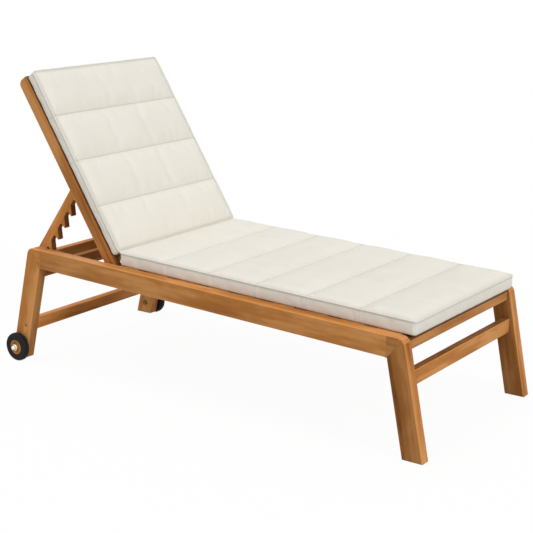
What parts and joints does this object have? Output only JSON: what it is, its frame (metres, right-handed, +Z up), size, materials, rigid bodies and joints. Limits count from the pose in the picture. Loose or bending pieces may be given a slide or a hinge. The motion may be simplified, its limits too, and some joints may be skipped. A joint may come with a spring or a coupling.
{
  "type": "sun lounger",
  "caption": "Wooden sun lounger with a splay-legged frame, a reclining back held by notched props, wheels at the head end and channelled cushions.",
  "frame": {"origin": "on the floor, at the middle of the lounger's length and width", "axes": "+X from the head end to the foot end, +Y to the left of someone lying on it, +Z up"},
  "size_m": [1.828, 0.8542, 1.1114],
  "materials": {
    "oiled_hardwood": "oiled, satin",
    "plug_wood": "oiled, satin",
    "turned_wood": "turned, oiled",
    "cushion_cover": "woven outdoor fabric",
    "black_tyre": "matte",
    "stainless_steel": "satin",
    "insert_brass": "machined",
    "nylon_bush": "moulded"
  },
  "bodies": {
    "frame": {"side_rail_left": "oiled_hardwood", "side_rail_right": "oiled_hardwood", "foot_leg_left": "oiled_hardwood", "foot_leg_right": "oiled_hardwood", "head_leg_left": "oiled_hardwood", "head_leg_right": "oiled_hardwood", "foot_corner_block_left": "oiled_hardwood", "foot_corner_block_right": "oiled_hardwood", "head_corner_block_left": "oiled_hardwood", "head_corner_block_right": "oiled_hardwood", "slat_bearer_left": "oiled_hardwood", "slat_bearer_right": "oiled_hardwood", "foot_end_rail": "oiled_hardwood", "foot_stretcher": "oiled_hardwood", "head_end_rail": "oiled_hardwood", "head_stretcher": "oiled_hardwood", "rest_rail": "oiled_hardwood", "seat_slat_1": "oiled_hardwood", "seat_slat_2": "oiled_hardwood", "seat_slat_3": "oiled_hardwood", "seat_slat_4": "oiled_hardwood", "seat_slat_5": "oiled_hardwood", "seat_slat_6": "oiled_hardwood", "seat_slat_7": "oiled_hardwood", "seat_slat_8": "oiled_hardwood", "seat_slat_9": "oiled_hardwood", "corner_tenons": "plug_wood", "stretcher_screws": "stainless_steel", "stretcher_plugs": "plug_wood", "recline_inserts": "insert_brass", "recline_washers": "stainless_steel", "recline_bolts": "stainless_steel", "axle_bolts": "stainless_steel", "axle_washers": "stainless_steel", "cap_nuts": "stainless_steel", "seat_cushion": "cushion_cover"},
    "backrest": {"backrest_stile_left": "oiled_hardwood", "backrest_stile_right": "oiled_hardwood", "backrest_top_rail": "oiled_hardwood", "backrest_bottom_rail": "oiled_hardwood", "back_slat_1": "oiled_hardwood", "back_slat_2": "oiled_hardwood", "back_slat_3": "oiled_hardwood", "back_slat_4": "oiled_hardwood", "back_slat_5": "oiled_hardwood", "back_slat_6": "oiled_hardwood", "recline_bushes": "nylon_bush", "prop_inserts": "insert_brass", "prop_washers": "stainless_steel", "prop_bolts": "stainless_steel", "back_cushion": "cushion_cover"},
    "prop_right": {"prop_right": "oiled_hardwood"},
    "prop_left": {"prop_left": "oiled_hardwood"},
    "wheel_right": {"tyre_right": "black_tyre", "wheel_hub_right": "turned_wood", "wheel_bush_right": "nylon_bush"},
    "wheel_left": {"tyre_left": "black_tyre", "wheel_hub_left": "turned_wood", "wheel_bush_left": "nylon_bush"}
  },
  "joints": [
    {"name": "backrest_recline", "type": "hinge", "parent": "frame", "child": "backrest", "pos_m": [-0.39112, 0, 0.4094], "axis": [0, 1, 0], "range_deg": [-50.2, 0]},
    {"name": "prop_right_swing", "type": "hinge", "parent": "backrest", "child": "prop_right", "pos_m": [-0.58566, 0, 0.70404], "axis": [0, 1, 0], "range_deg": [0, 110.5]},
    {"name": "prop_left_swing", "type": "hinge", "parent": "backrest", "child": "prop_left", "pos_m": [-0.58566, 0, 0.70404], "axis": [0, 1, 0], "range_deg": [0, 110.5]},
    {"name": "wheel_right_spin", "type": "hinge", "parent": "frame", "child": "wheel_right", "pos_m": [-0.85898, 0, 0.055], "axis": [0, 1, 0], "continuous": true},
    {"name": "wheel_left_spin", "type": "hinge", "parent": "frame", "child": "wheel_left", "pos_m": [-0.85898, 0, 0.055], "axis": [0, 1, 0], "continuous": true}
  ],
  "couplings": [
    {"joint": "prop_right_swing", "follows": "backrest_recline", "ratio": -2.1992},
    {"joint": "prop_left_swing", "follows": "backrest_recline", "ratio": -2.1992}
  ]
}
